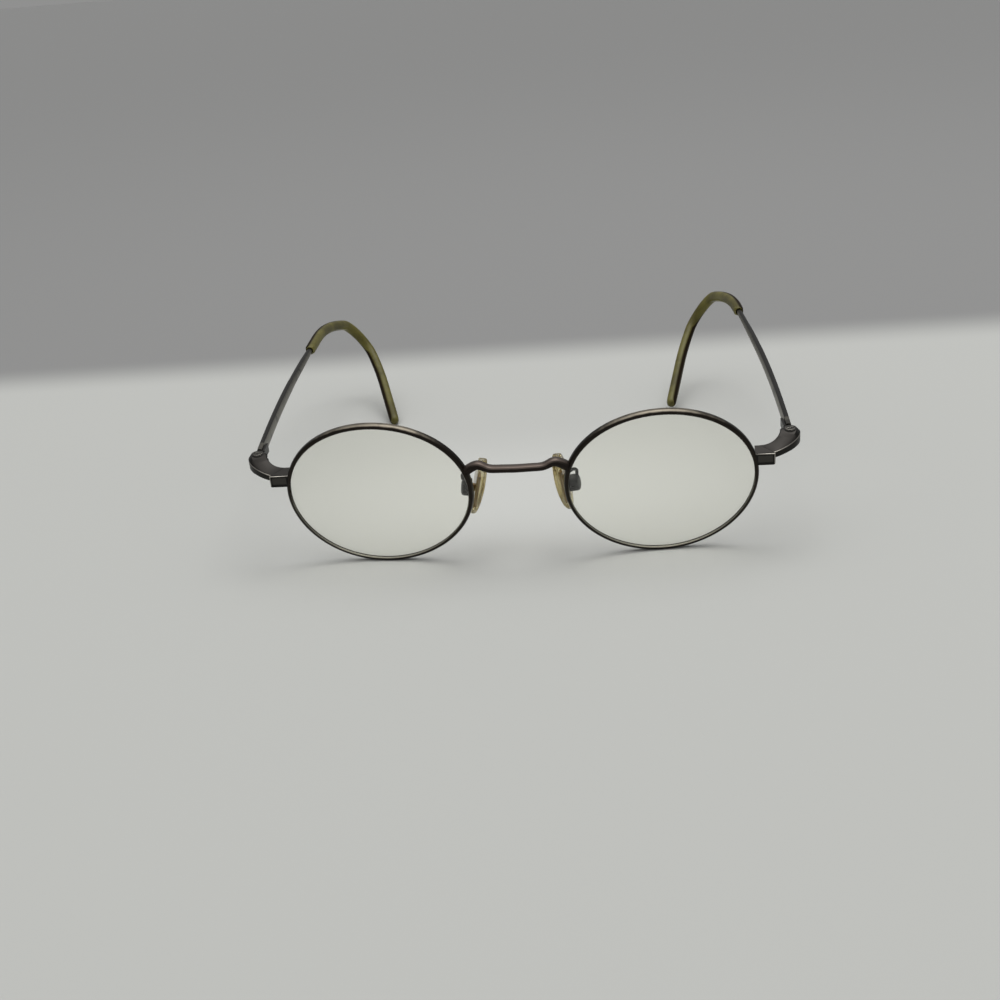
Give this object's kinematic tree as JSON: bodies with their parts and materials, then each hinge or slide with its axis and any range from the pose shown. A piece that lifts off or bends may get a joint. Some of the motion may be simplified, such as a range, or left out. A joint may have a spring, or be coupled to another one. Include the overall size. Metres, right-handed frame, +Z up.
{
  "type": "oval wire eyeglasses",
  "caption": "Oval wire eyeglasses with a slim bridge, screw-mounted nose pads, hinged flat temples and curved ear hooks in plastic sleeves.",
  "frame": {"origin": "bottom centre of the bounding box, on the table the glasses stand on", "axes": "+X to the wearer left, +Y to the back along the temples, +Z up"},
  "size_m": [0.1408, 0.1486, 0.0377],
  "materials": {
    "frame_metal": "dark antique pewter plating, satin",
    "bridge_metal": "pewter plating worn to a brown bronze tint",
    "temple_metal": "dark antique pewter plating, satin",
    "screw_steel": "bright slotted heads",
    "lens_glass": "clear, polished",
    "sleeve_plastic": "aged olive-yellow translucent plastic",
    "pad_core_plastic": "brown stiff core",
    "pad_plastic": "yellowed clear plastic"
  },
  "bodies": {
    "front": {"left_eyewire": "frame_metal", "left_lens": "lens_glass", "right_eyewire": "frame_metal", "right_lens": "lens_glass", "bridge": "bridge_metal", "left_endpiece": "frame_metal", "left_closing_block": "frame_metal", "left_closing_screw": "screw_steel", "left_hinge_screw": "screw_steel", "left_pad_arm": "frame_metal", "left_pad_box": "frame_metal", "left_pad_screw": "screw_steel", "right_endpiece": "frame_metal", "right_closing_block": "frame_metal", "right_closing_screw": "screw_steel", "right_hinge_screw": "screw_steel", "right_pad_arm": "frame_metal", "right_pad_box": "frame_metal", "right_pad_screw": "screw_steel"},
    "left_temple_body": {"left_hinge_leaf": "frame_metal", "left_temple": "temple_metal", "left_ear_sleeve": "sleeve_plastic"},
    "right_temple_body": {"right_hinge_leaf": "frame_metal", "right_temple": "temple_metal", "right_ear_sleeve": "sleeve_plastic"},
    "left_pad_body": {"left_pad_core": "pad_core_plastic", "left_nose_pad": "pad_plastic"},
    "right_pad_body": {"right_pad_core": "pad_core_plastic", "right_nose_pad": "pad_plastic"}
  },
  "joints": [
    {"name": "left_temple_hinge", "type": "hinge", "parent": "front", "child": "left_temple_body", "pos_m": [0.06799, -0.06009, 0.02584], "axis": [0, -0.1156, 0.9933], "range_deg": [-5.9, 79.5]},
    {"name": "right_temple_hinge", "type": "hinge", "parent": "front", "child": "right_temple_body", "pos_m": [-0.06503, -0.06009, 0.02584], "axis": [0, 0.1156, -0.9933], "range_deg": [0, 70]},
    {"name": "left_pad_rock", "type": "hinge", "parent": "front", "child": "left_pad_body", "pos_m": [0.01471, -0.06486, 0.01769], "axis": [0.1392, 0.9836, 0.1145], "range_deg": [-9, 7]},
    {"name": "right_pad_rock", "type": "hinge", "parent": "front", "child": "right_pad_body", "pos_m": [-0.01175, -0.06486, 0.01769], "axis": [-0.1392, 0.9836, 0.1145], "range_deg": [-12, 4]}
  ]
}
